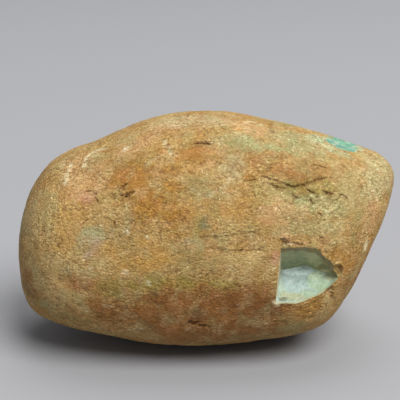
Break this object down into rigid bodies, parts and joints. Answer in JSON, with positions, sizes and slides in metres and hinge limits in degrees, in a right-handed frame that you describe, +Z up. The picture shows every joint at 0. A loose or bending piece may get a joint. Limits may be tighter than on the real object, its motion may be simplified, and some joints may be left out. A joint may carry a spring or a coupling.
{
  "type": "jadeite pebble",
  "caption": "River-worn jadeite boulder with a brown rind, a window sawn into its lower right front that opens green stone, and a small polished spot on its shoulder.",
  "frame": {"origin": "bottom centre of the pebble's box, in the plane of its flat rest spot", "axes": "+Z up, +X along the length to the narrow end with the polished spot, -Y the face with the window"},
  "size_m": [0.18, 0.108, 0.111],
  "materials": {
    "stone": "rough brown rind over pale green stone"
  },
  "bodies": {
    "root": {"pebble": "stone"}
  },
  "joints": []
}
